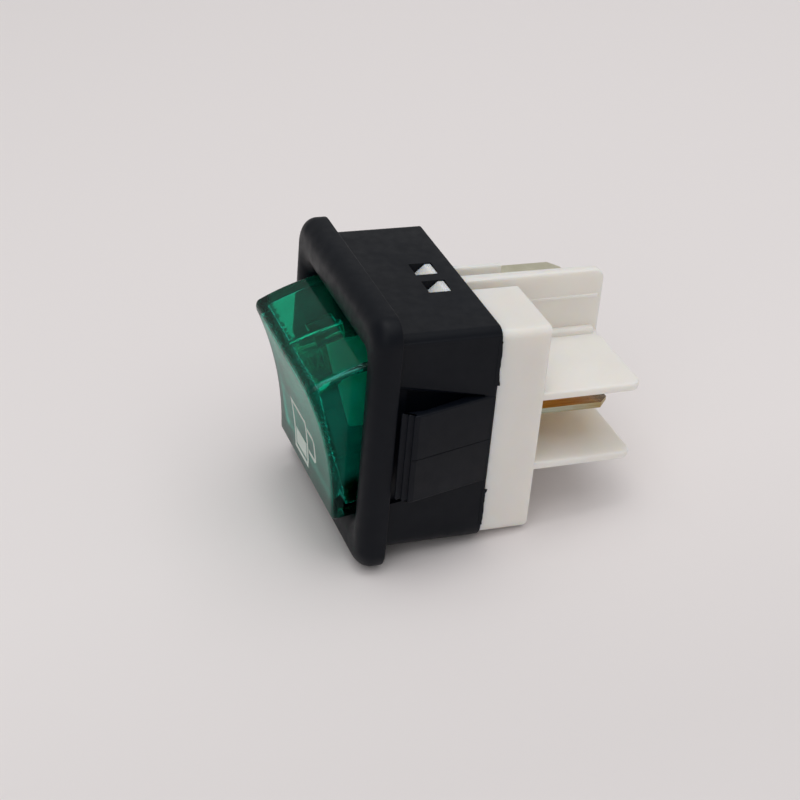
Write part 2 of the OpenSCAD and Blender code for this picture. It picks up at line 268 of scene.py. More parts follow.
def ramp(nt, fac, stops):
    r = nt.nodes.new("ShaderNodeValToRGB")
    el = r.color_ramp.elements
    while len(el) < len(stops):
        el.new(0.5)
    for e, (p, c) in zip(el, stops):           # stops in rising order
        e.position = p
        e.color = (*c, 1.0) if len(c) == 3 else c
    nt.links.new(fac, r.inputs["Fac"])
    return r


def map_range(nt, fac, lo, hi, to_lo, to_hi):
    m = nt.nodes.new("ShaderNodeMapRange")
    m.inputs["From Min"].default_value = lo
    m.inputs["From Max"].default_value = hi
    m.inputs["To Min"].default_value = to_lo
    m.inputs["To Max"].default_value = to_hi
    nt.links.new(fac, m.inputs["Value"])
    return m.outputs["Result"]


def bump(nt, height, strength, distance, normal=None):
    b = nt.nodes.new("ShaderNodeBump")
    b.inputs["Strength"].default_value = strength
    b.inputs["Distance"].default_value = distance
    nt.links.new(height, b.inputs["Height"])
    if normal is not None:
        nt.links.new(normal, b.inputs["Normal"])
    return b.outputs["Normal"]


def grain_plastic(name, dark, light, rough, grain, depth, subsurface=0.0, spec=0.5):
    """Moulded plastic: slow colour drift, fine tool grain and uneven gloss."""
    m, nt, b = material(name)
    v = coords(nt)
    slow = noise(nt, v, 0.12, 4.0)
    fine = noise(nt, v, grain, 2.0, 0.6)
    col = ramp(nt, slow.outputs["Fac"], [(0.3, dark), (0.7, light)])
    nt.links.new(col.outputs["Color"], b.inputs["Base Color"])
    mid = noise(nt, v, 0.7, 3.0)
    nt.links.new(map_range(nt, mid.outputs["Fac"], 0.3, 0.7, rough[0], rough[1]), b.inputs["Roughness"])
    nt.links.new(bump(nt, fine.outputs["Fac"], 0.35, depth * MM), b.inputs["Normal"])
    b.inputs["Specular IOR Level"].default_value = spec
    if subsurface:
        b.inputs["Subsurface Weight"].default_value = subsurface
        b.inputs["Subsurface Radius"].default_value = (1.0, 0.8, 0.6)
        b.inputs["Subsurface Scale"].default_value = 0.0020
    return m


def stamped_metal(name, dark, light, rough, line=(0.4, 9.0, 9.0), metal=1.0):
    """Rolled sheet metal: drawn lines, slow tarnish and uneven gloss."""
    m, nt, b = material(name)
    v = coords(nt)
    mp = nt.nodes.new("ShaderNodeMapping")
    mp.inputs["Scale"].default_value = line
    nt.links.new(v, mp.inputs["Vector"])
    lines = noise(nt, mp.outputs["Vector"], 1.6, 4.0)
    slow = noise(nt, v, 0.5, 4.0, 0.6)
    col = ramp(nt, slow.outputs["Fac"], [(0.3, dark), (0.7, light)])
    nt.links.new(col.outputs["Color"], b.inputs["Base Color"])
    b.inputs["Metallic"].default_value = metal
    nt.links.new(map_range(nt, lines.outputs["Fac"], 0.3, 0.7, rough[0], rough[1]), b.inputs["Roughness"])
    nt.links.new(bump(nt, lines.outputs["Fac"], 0.25, 0.01 * MM), b.inputs["Normal"])
    return m


def tab_metal(name, stops, rough):
    """Tab stock whose colour changes from root to tip (19 to 29 mm), with streaks along the tab."""
    m, nt, b = material(name)
    v = coords(nt)
    mp = nt.nodes.new("ShaderNodeMapping")
    mp.inputs["Scale"].default_value = (5.0, 0.22, 5.0)
    nt.links.new(v, mp.inputs["Vector"])
    streak = noise(nt, mp.outputs["Vector"], 0.9, 4.0, 0.6)
    part = nt.nodes.new("ShaderNodeSeparateXYZ")
    nt.links.new(v, part.inputs["Vector"])
    run = ramp(nt, map_range(nt, part.outputs["Y"], 19.0, 29.2, 0.0, 1.0), stops)
    shade = ramp(nt, streak.outputs["Fac"], [(0.3, (0.62, 0.55, 0.5)), (0.65, (1.0, 1.0, 1.0))])
    mul = nt.nodes.new("ShaderNodeMixRGB")
    mul.blend_type = "MULTIPLY"
    mul.inputs["Fac"].default_value = 1.0
    nt.links.new(run.outputs["Color"], mul.inputs["Color1"])
    nt.links.new(shade.outputs["Color"], mul.inputs["Color2"])
    nt.links.new(mul.outputs["Color"], b.inputs["Base Color"])
    b.inputs["Metallic"].default_value = 1.0
    nt.links.new(map_range(nt, streak.outputs["Fac"], 0.3, 0.7, rough[0], rough[1]), b.inputs["Roughness"])
    nt.links.new(bump(nt, streak.outputs["Fac"], 0.25, 0.01 * MM), b.inputs["Normal"])
    return m


def lens_plastic(name, rough, speckle):
    """Clear coloured moulding, tinted on the way through, with faint flow marks and uneven gloss; its faint cloudiness
    is held to the upper part and the front face as painted glow, and kept off the low walls where shade falls.
    """
    m, nt, b = material(name)
    v = coords(nt)
    slow = noise(nt, v, 0.16, 3.0)
    col = ramp(nt, slow.outputs["Fac"], [(0.25, (0.004, 0.60, 0.43)), (0.75, (0.008, 0.70, 0.50))])
    turn = nt.nodes.new("ShaderNodeMapping")      # into the rocker's own frame
    turn.inputs["Rotation"].default_value = (-math.radians(15.2), 0, 0)
    nt.links.new(v, turn.inputs["Vector"])
    part = nt.nodes.new("ShaderNodeSeparateXYZ")
    nt.links.new(turn.outputs["Vector"], part.inputs["Vector"])

    def calc(op, a, c):
        n = nt.nodes.new("ShaderNodeMath")
        n.operation = op
        for i, q in enumerate((a, c)):
            if isinstance(q, (int, float)):
                n.inputs[i].default_value = q
            else:
                nt.links.new(q, n.inputs[i])
        return n.outputs[0]

    # distance of each place from the curved raised end and from the sides: thin corner edges there are paler, partly
    # the lighter tint of thin plastic and partly a painted highlight along the corner
    back = calc("SUBTRACT", part.outputs["Y"], 0.2)
    end = calc("ADD", part.outputs["Z"], calc("MULTIPLY", calc("MULTIPLY", back, back), 0.0175))
    side = calc("ABSOLUTE", part.outputs["X"], 0.0)
    edge = calc("MULTIPLY", map_range(nt, end, 9.38, 9.52, 0.0, 1.0), map_range(nt, side, 10.62, 10.76, 0.0, 1.0))
    thin_edge_tint_and_highlight = nt.nodes.new("ShaderNodeMixRGB")
    thin_edge_tint_and_highlight.inputs["Color2"].default_value = (0.92, 0.96, 0.94, 1)
    nt.links.new(edge, thin_edge_tint_and_highlight.inputs["Fac"])
    nt.links.new(col.outputs["Color"], thin_edge_tint_and_highlight.inputs["Color1"])
    cloud = noise(nt, v, 0.3, 3.0)
    haze_and_painted_glow = map_range(nt, cloud.outputs["Fac"], 0.3, 0.7, 0.07, 0.12)
    off = calc("SUBTRACT", part.outputs["Z"], 1.1)
    depth = calc("ADD", calc("ADD", part.outputs["Y"], 6.64), calc("MULTIPLY", calc("MULTIPLY", off, off), 1 / 86))
    face = map_range(nt, depth, 0.1, 0.4, 1.0, 0.0)      # 1 on the dished front face, 0 on the walls
    # the thick rim behind the front face is deeper in colour and finely speckled; so is the inner seam of the far and low walls
    rim = calc("MAXIMUM", calc("MAXIMUM", map_range(nt, part.outputs["X"], 10.2, 10.6, 0.0, 1.0), map_range(nt, end, 8.7, 9.2, 0.0, 1.0)),
               map_range(nt, part.outputs["Z"], -8.9, -9.3, 0.0, 1.0))
    rim = calc("MULTIPLY", rim, calc("MULTIPLY", map_range(nt, depth, 0.1, 0.3, 0.0, 1.0), map_range(nt, depth, 0.95, 1.25, 1.0, 0.0)))
    grit = noise(nt, v, 3.2, 2.0, 0.6)
    rim = calc("MULTIPLY", rim, map_range(nt, grit.outputs["Fac"], 0.50, 0.62, 1.0, 0.25))
    seam = calc("MAXIMUM", map_range(nt, part.outputs["X"], -9.2, -9.6, 0.0, 1.0), map_range(nt, part.outputs["Z"], -8.0, -8.3, 0.0, 1.0))
    seam = calc("MULTIPLY", seam, calc("MULTIPLY", map_range(nt, depth, 0.6, 0.8, 0.0, 1.0), map_range(nt, depth, 1.9, 2.3, 1.0, 0.0)))
    shade = calc("MAXIMUM", map_range(nt, part.outputs["X"], -8.4, -9.8, 0.2, 0.6), map_range(nt, part.outputs["Z"], -7.2, -8.6, 0.2, 0.6))
    seam = calc("MAXIMUM", seam, calc("MULTIPLY", shade, face))      # and the face is deeper in colour in front of that seam
    deep = nt.nodes.new("ShaderNodeMixRGB")
    deep.blend_type = "MULTIPLY"
    deep.inputs["Color2"].default_value = (0.2, 0.24, 0.24, 1)
    nt.links.new(calc("MAXIMUM", rim, seam), deep.inputs["Fac"])
    nt.links.new(thin_edge_tint_and_highlight.outputs["Color"], deep.inputs["Color1"])
    nt.links.new(deep.outputs["Color"], b.inputs["Base Color"])
    # painted light: the cloudiness is kept off the walls below z -4.8, which stay clear where shade falls, while the
    # upper walls carry it as painted glow; it thins towards the raised end and is a fifth stronger on the front face as
    # painted sheen
    for fac in (calc("MAXIMUM", map_range(nt, part.outputs["Z"], -4.8, -3.8, 0.0, 1.0), face),
                map_range(nt, part.outputs["Z"], 7.2, 8.4, 1.0, 0.3), calc("ADD", calc("MULTIPLY", face, 0.2), 1.0)):
        haze_and_painted_glow = calc("MULTIPLY", haze_and_painted_glow, fac)
    nt.links.new(map_range(nt, haze_and_painted_glow, 0.0, 1.0, 1.0, 0.0), b.inputs["Transmission Weight"])
    b.inputs["IOR"].default_value = 1.40
    sheen = nt.nodes.new("ShaderNodeMixRGB")
    sheen.inputs["Color1"].default_value = (0.15, 0.48, 0.42, 1)
    sheen.inputs["Color2"].default_value = (0.62, 0.66, 0.62, 1)
    nt.links.new(face, sheen.inputs["Fac"])
    nt.links.new(sheen.outputs["Color"], b.inputs["Specular Tint"])
    nt.links.new(map_range(nt, face, 0.0, 1.0, 0.5, 0.66), b.inputs["Specular IOR Level"])
    fine = noise(nt, v, 2.2, 3.0)
    gloss = map_range(nt, fine.outputs["Fac"], 0.3, 0.7, rough[0], rough[1])
    nt.links.new(calc("ADD", gloss, calc("MULTIPLY", face, 0.30)), b.inputs["Roughness"])      # the front face is satin
    h = noise(nt, v, speckle[0], 2.0)
    nt.links.new(bump(nt, h.outputs["Fac"], speckle[1], speckle[2] * MM), b.inputs["Normal"])
    return m


M_BLACK = grain_plastic("black_plastic", (0.0013, 0.0025, 0.0054), (0.0022, 0.0037, 0.0074), (0.40, 0.52), 9.0, 0.02, spec=0.17)
M_WHITE = grain_plastic("white_plastic", (0.80, 0.776, 0.735), (0.83, 0.808, 0.772), (0.42, 0.55), 6.0, 0.012, subsurface=0.85)
M_NATURAL = grain_plastic("plunger_plastic", (0.62, 0.60, 0.52), (0.70, 0.68, 0.60), (0.35, 0.5), 6.0, 0.01, subsurface=0.1)
M_BRASS = tab_metal("brass_tab", [(0.0, (0.80, 0.44, 0.07)), (0.45, (0.60, 0.28, 0.07)), (0.82, (0.42, 0.28, 0.16)), (1.0, (0.27, 0.21, 0.15))], (0.16, 0.30))
M_DULL = stamped_metal("dull_brass", (0.78, 0.75, 0.57), (0.90, 0.87, 0.70), (0.36, 0.52), (1.5, 2.5, 2.5))
M_SHEAR = tab_metal("sheared_edge", [(0.0, (0.46, 0.52, 0.44)), (0.5, (0.50, 0.50, 0.38)), (0.9, (0.46, 0.35, 0.15))], (0.30, 0.46))
# painted reflection: tab undersides get a brighter, partly diffuse gold so that they cast a gold glow on the fin below,
# standing in for the mirror glow of brass
M_PAINTED_GLOW_BRASS = stamped_metal("painted_glow_brass", (0.95, 0.58, 0.08), (0.98, 0.66, 0.13), (0.3, 0.45), metal=0.25)
M_COPPER = stamped_metal("copper_bridge", (0.60, 0.30, 0.16), (0.72, 0.40, 0.24), (0.28, 0.45))
M_SILVER = stamped_metal("silver_contact", (0.62, 0.62, 0.60), (0.78, 0.78, 0.76), (0.2, 0.4), (3, 3, 3))
M_STEEL = stamped_metal("steel_wire", (0.45, 0.46, 0.48), (0.6, 0.61, 0.63), (0.2, 0.38), (4, 4, 4))
M_TIN = stamped_metal("tinned_wire", (0.55, 0.55, 0.54), (0.7, 0.7, 0.69), (0.25, 0.45), (4, 4, 4))
M_LENS = lens_plastic("lens_green", (0.015, 0.05), (0.7, 0.1, 0.02))
M_SLEEVE = grain_plastic("sleeving", (0.55, 0.50, 0.38), (0.66, 0.61, 0.48), (0.6, 0.8), 4.0, 0.05)
M_RESISTOR = grain_plastic("resistor_lacquer", (0.42, 0.28, 0.15), (0.52, 0.36, 0.20), (0.2, 0.35), 3.0, 0.01)
M_INK = grain_plastic("marking_ink", (0.58, 0.68, 0.62), (0.66, 0.76, 0.70), (0.4, 0.5), 8.0, 0.004)
M_GLASS, _nt, _b = material("lamp_glass_clear")
_v = coords(_nt)
_n = noise(_nt, _v, 0.8, 2.0)
_b.inputs["Base Color"].default_value = (0.93, 0.96, 0.95, 1)
_b.inputs["Transmission Weight"].default_value = 1.0
_b.inputs["IOR"].default_value = 1.48
_nt.links.new(map_range(_nt, _n.outputs["Fac"], 0.3, 0.7, 0.0, 0.06), _b.inputs["Roughness"])
_nt.links.new(bump(_nt, _n.outputs["Fac"], 0.1, 0.02 * MM), _b.inputs["Normal"])


def dress(ob, mat, node, body):
    """Brings a new piece to metres, gives it its material and its body, and hides the CAD node that it stands for."""
    ob.data.transform(Matrix.Scale(MM, 4))
    ob.data.materials.clear()
    ob.data.materials.append(mat)
    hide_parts(node)
    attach(ob, body)


def dress_cad(node, mat):
    """Gives a carried-over node its material."""
    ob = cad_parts[node]
    ob.data.materials.clear()
    ob.data.materials.append(mat)


# ---------------------------------------------------------------- housing
def make_housing():
    body = (1.3, 2.0)                         # corner radii of the body, upper and lower

    def grow(d):
        return (body[0] + d, body[1] + d)

    st = []                                   # half width, half height, corner radius, depth
    st.append((14.15, 14.0, body, 0.2))
    for k in range(1, 4):                     # small fillet into the rear plane of the bezel
        t = math.radians(30 * k)
        d = 0.2 * (1 - math.cos(t))
        st.append((14.15 + d, 14.0 + d, grow(d), 0.2 - 0.2 * math.sin(t)))
    for k in range(0, 4):                     # rear rim of the bezel
        t = math.radians(30 * k)
        d = 0.14 * (1 - math.sin(t))
        st.append((15.35 - d, 16.175 - d, 2.8 - d, -0.14 * (1 - math.cos(t))))
    e = 2.0
    for k in range(0, 13):                    # outer rounding up to the crown
        t = math.radians(7.5 * k)
        d = e * (1 - math.cos(t))
        st.append((15.35 - d, 16.175 - d, 2.8 - 0.5 * d, -1.2 - e * math.sin(t)))
    for k in range(0, 13):                    # inner rounding down to the opening
        t = math.radians(7.5 * k)
        q = 1 - math.sin(t)
        st.append((11.7 + 1.62 * q, 10.7 + 2.6 * q, 1.8 + 0.3 * q, -3.2 + 2.0 * (1 - math.cos(t))))
    st.append((11.7, 10.7, 1.8, 0.6))
    st.append((11.7, 10.7, 1.8, 2.2))
    st.append((12.65, 12.5, 0.6, 2.2))
    st.append((12.65, 12.5, 0.6, 11.95))
    st.append((12.8, 12.65, 0.7, 12.1))
    for k in range(0, 4):
        t = math.radians(30 * k)
        d = 0.14 * (1 - math.sin(t))
        st.append((14.15 - d, 14.0 - d, grow(-d), 12.1 - 0.14 * (1 - math.cos(t))))
    rings = [[(x, y, z) for x, z in rrect(a, b, r, 10)] for a, b, r, y in st]
    v, f = loft(rings, closed=True)
    ob = new_obj("housing_shell", v, f)

    def slot_h(y):
        return 7.35 - 1.67 * (y - 0.3) / 10.5

    for s in (-1, 1):
        # pockets for the wings, with their inner wall, and the openings that narrow towards the roots
        x0, x1 = sorted((s * 11.72, s * 12.9))
        boolean(ob, box_obj("c", x0, x1, 1.5, 10.3, -8.2, 8.2), "UNION")
        for xi, ya, yb in ((12.4, 1.6, 10.8), (13.45, 0.3, 1.7)):
            x0, x1 = sorted((s * xi, s * 15.0))
            side = [(ya, -slot_h(ya)), (yb, -slot_h(yb)), (yb, slot_h(yb)), (ya, slot_h(ya))]
            boolean(ob, prism("c", side, x0, x1, "x"), "DIFFERENCE")
        rings = []                             # the wall above curves in towards the pocket
        for y in (0.32, 3.5, 7.0, 10.7):
            h, k = slot_h(y), 0.8 - 0.6 * (y - 0.32) / 10.38
            sec = [(15.5, h + k), (14.14, h + k), (14.08, h + 0.66 * k), (13.95, h + 0.34 * k), (13.7, h + 0.1 * k), (13.4, h - 0.03), (13.4, h - 1.2), (15.5, h - 1.2)]
            rings.append([(s * x, y, z) for x, z in sec])
        v, f = loft(rings)
        boolean(ob, new_obj("c", v, f), "DIFFERENCE")
        # stepped snap wing with a fine split across its middle
        q = 14.15
        o = 2.65
        plan = [(q - 1.5, 12.1, 0), (q - 1.25, 10.8, 0.3), (q + o - 1.28, 3.0, 0.3), (q + o - 1.25, 0.3, 0.1),
                (q + o - 0.87, 0.3, 0.2), (q + o - 0.87, 0.9, 0.08), (q + o - 0.45, 0.9, 0.2), (q + o - 0.45, 1.5, 0.08),
                (q + o, 1.5, 0.2), (q + o, 2.1, 0.25), (q + 0.06, 11.7, 0.5), (q, 12.1, 0.1)]
        plan = [(s * x, y, r) for x, y, r in plan]
        if s < 0:
            plan = plan[::-1]
        wing = prism("wing", round_poly(plan[::-1], 4), -5.65, 5.65, "z", 0.22, 0.22, 4)
        slit = prism("slit", [(s * (q - 0.07), 11.95), (s * (q + o - 0.12), 2.0), (s * (q + o - 0.12), 0.0), (s * (q + o + 3), 0.0), (s * (q + o + 3), 11.95)], -0.1, -0.02, "z")
        boolean(wing, slit, "DIFFERENCE")
        boolean(ob, wing, "UNION")
        # crisp crease along the upper edge, and thin flash on the rear rim above and below the wing root
        crease = [(13.3, 12.55), (14.155, 12.55), (14.165, 13.20), (14.13, 13.26), (13.90, 13.44), (13.3, 13.44)]
        boolean(ob, prism("crease", [(s * x, z) for x, z in crease], -0.5, 12.0, "y"), "UNION")
        x0, x1 = sorted((s * 13.8, s * 14.18))
        for t, lo, hi in ((1, 6.9, 12.5), (-1, 6.9, 11.8)):
            pts = [(12.36, lo), (12.33, lo + 0.28)]
            for k in range(1, 15):
                z = lo + 0.28 + (hi - lo - 0.28) * k / 14
                pts.append((12.17 + 0.045 * jitter(k, 3 + t) + 0.03 * math.sin(0.9 * k), z))
            side = [(11.7, lo)] + [(y, z) for y, z in pts] + [(11.7, hi)]
            boolean(ob, prism("flash", [(y, t * z) for y, z in side], x0, x1, "x"), "UNION")
    for s in (-1, 1):                          # hook windows above and below
        for i in (-1, 1):
            x = 0.4 + 2.25 * i
            z0, z1 = sorted((s * 11.5, s * 15.0))
            boolean(ob, box_obj("c", x - 1.43, x + 1.43, 6.95, 9.8, z0, z1, 0.12), "DIFFERENCE")
    for s in (-1, 1):                          # trunnion bores
        boolean(ob, turned("c", [(1.25, s * 11.0), (1.25, s * 13.2)], "x", (0, -0.3, 0), 32), "DIFFERENCE")
    tidy(ob, 30)
    return ob


# ---------------------------------------------------------------- rocker
TILT = math.radians(15.2)
HALF_W = 11.05
DISH_R, DISH_M, DISH_U = 43.0, -6.35, 1.1      # radius of the dished face, its deepest place and that place's height
R_SIDE, R_TOP, R_BOT = 0.9, 1.2, 0.6           # rounding of the front edges along the sides, the raised end and the low end
V_IN = -5.45                                   # flat inside of the front wall


def dish(u, off=0.0):
    """Depth of the dished face at height u, moved rearwards by off."""
    return DISH_M - DISH_R + off + math.sqrt(DISH_R ** 2 - min(abs(u - DISH_U), 14) ** 2)


def end_u(v, up):
    """Half length of the rocker at depth v; the raised end is curved more than the other."""
    return 9.8 - (0.0175 if up else 0.006) * (v - 0.5) ** 2


def from_rocker(p):
    """Rocker frame to part frame."""
    x, v, u = p
    c, s = math.cos(TILT), math.sin(TILT)
    return (x, -0.3 + c * v - s * u, s * v + c * u)


def placed(o):
    for vtx in o.data.vertices:
        vtx.co = from_rocker(tuple(vtx.co))
    return o


def outline(a, bt, bb, r, n_c=8, n_a=110, n_b=120):
    """A rounded rectangle from -bb to bt in height with points along its straight sides; each point is (x, u, share of the end)."""
    r = max(0.02, r)
    f = 0.5 * r                                # the far edges are sharper
    pts = []
    cor = [(a - r, bt - r, 0, r), (f - a, bt - f, 90, f), (f - a, f - bb, 180, f), (a - r, r - bb, 270, r)]
    for i, (cx, cy, a0, c) in enumerate(cor):
        for k in range(n_c + 1):
            t = math.radians(a0 + 90 * k / n_c)
            pts.append((cx + c * math.cos(t), cy + c * math.sin(t), math.sin(t) ** 2))
        nx, ny, b0, c = cor[(i + 1) % 4]
        q = (nx + c * math.cos(math.radians(b0)), ny + c * math.sin(math.radians(b0)))
        p = pts[-1]
        m = n_a if i % 2 == 0 else n_b
        for k in range(1, m):
            pts.append((p[0] + (q[0] - p[0]) * k / m, p[1] + (q[1] - p[1]) * k / m, 1.0 - i % 2))
    return pts


def make_rocker():
    rear = 2.2
    front_t, front_b = dish(8.9) + R_TOP, dish(-9.3) + R_BOT
    round_t, round_b = end_u(front_t, True), end_u(front_b, False)

    def front(u, w):
        """Depth at which the rounding of the front edge starts."""
        return dish(u) + R_SIDE * (1 - w) + (R_TOP if u > 0 else R_BOT) * w

    outer = []
    for k in range(0, 13):                     # outer side walls, from the open rear to the front
        t = k / 12
        bt = end_u(rear + (front_t - rear) * t, True)
        bb = end_u(rear + (front_b - rear) * t, False)
        outer.append([(x, rear + (front(u, w) - rear) * t, u) for x, u, w in outline(HALF_W, bt, bb, 0.75)])
    for k in range(1, 9):                      # front fillets
        t = math.radians(90 * k / 8)
        c = 1 - math.cos(t)
        ring = []
        for x, u, w in outline(HALF_W - R_SIDE * c, round_t - R_TOP * c, round_b - R_BOT * c, 0.75 - 0.5 * c):
            ring.append((x, dish(u) + (R_SIDE * (1 - w) + (R_TOP if u > 0 else R_BOT) * w) * (1 - math.sin(t)), u))
        outer.append(ring)
    for k in range(1, 10):                     # dished face
        q = 1 - k / 10
        outer.append([(x * q, dish(u * q), u * q) for x, u, w in outline(HALF_W - R_SIDE, round_t - R_TOP, round_b - R_BOT, 0.25)])
    wall = 1.3
    inner = []
    for k in range(0, 10):                     # inside of the walls
        v = rear + (V_IN + 0.18 - rear) * k / 9
        inner.append([(x, v, u) for x, u, w in outline(HALF_W - wall, end_u(v, True) - wall, end_u(v, False) - wall, 0.35)])
    foot = outline(HALF_W - wall, end_u(V_IN, True) - wall, end_u(V_IN, False) - wall, 0.35)
    for k in range(1, 5):                      # finely pitted seam around the inside of the front wall
        t = math.radians(90 * k / 4)
        ring = []
        for j, (x, u, w) in enumerate(foot):
            pitted = (x > 0 and w < 0.5) or (u > 0 and w >= (0.5 if x > 0 else 0.999))
            q = 0.18 if pitted else 0.04
            g = 0.035 * jitter(j, k) if pitted and k < 4 else 0.0
            d = q * (1 - math.cos(t)) + g
            ring.append((x - math.copysign(d * (1 - w), x), V_IN + q * (1 - math.sin(t)) + g, u - math.copysign(d * w, u)))
        inner.append(ring)
    for k in range(1, 4):                      # flat inside of the front wall
        q = 0.97 * (1 - k / 4)
        inner.append([(x * q, V_IN, u * q) for x, u, w in foot])
    seq = outer[::-1] + inner                  # from the face's middle, round the rear rim, to the inner middle
    verts, faces = loft([[from_rocker(p) for p in ring] for ring in seq])
    ob = new_obj("rocker_shell", verts, faces)
    for s in (-1, 1):
        boolean(ob, placed(turned("t", [(1.2, s * 10.5), (1.2, s * 12.8), (1.0, s * 13.0)], "x", (0, 0, 0), 40)), "UNION")
    tube = turned("t", [(2.5, -5.6), (2.5, 3.05), (2.35, 3.2)], "y", (-6.5, 0, 0), 48)
    boolean(ob, placed(tube), "UNION")
    boolean(ob, placed(turned("t", [(1.6, -4.0), (1.6, 4.0)], "y", (-6.5, 0, 0), 40)), "DIFFERENCE")
    # ribs inside both end walls, and a pad with a cross bar behind the raised end
    boolean(ob, placed(box_obj("t", -0.6, 0.6, -5.6, 0.8, 6.9, 8.62, 0.06)), "UNION")
    boolean(ob, placed(box_obj("t", -0.6, 0.6, -5.6, 0.8, -8.62, -6.9, 0.06)), "UNION")
    boolean(ob, placed(box_obj("t", -2.4, 2.4, -2.9, 0.3, 7.7, 8.6, 0.06)), "UNION")
    tidy(ob, 28, 0.004)
    return ob


def ribbon(name, outer, inner, closed, proud=0.03, deep=0.08, step=0.35):
    """A flat mark on the dished face between two lines of (x, u) points of equal length."""
    st = []
    n = len(outer)
    for i in range(n if closed else n - 1):
        j = (i + 1) % n
        ln = max(math.dist(outer[i], outer[j]), math.dist(inner[i], inner[j]))
        m = max(1, math.ceil(ln / step))
        for k in range(m):
            t = k / m
            st.append([tuple(a + (b - a) * t for a, b in zip(p[i], p[j])) for p in (outer, inner)])
    if not closed:
        st.append([outer[-1], inner[-1]])
    rings = []
    for o, i in st:
        rings.append([from_rocker(p) for p in ((o[0], dish(o[1]) - proud, o[1]), (i[0], dish(i[1]) - proud, i[1]),
                                               (i[0], dish(i[1]) + deep, i[1]), (o[0], dish(o[1]) + deep, o[1]))])
    v, f = loft(rings, closed=closed)
    return new_obj(name, v, f)


def make_symbol():
    """A plain cup pictogram on the lower half of the front face."""
    cup = ribbon("s1", [(-4.3, -1.2), (1.9, -1.2), (1.5, -7.9), (-3.9, -7.9)], [(-3.77, -1.7), (1.37, -1.7), (1.02, -7.4), (-3.42, -7.4)], True)
    fill = ribbon("s2", [(-3.3, -4.9), (-3.17, -7.1)], [(0.9, -4.9), (0.77, -7.1)], False)
    handle = ribbon("s3", [(2.1, -1.9), (4.4, -1.9), (4.9, -2.4), (4.9, -5.0), (4.4, -5.5), (1.9, -5.5)],
                    [(2.07, -2.4), (4.2, -2.4), (4.4, -2.6), (4.4, -4.8), (4.2, -5.0), (1.93, -5.0)], False)
    return join([cup, fill, handle], "cup_mark")


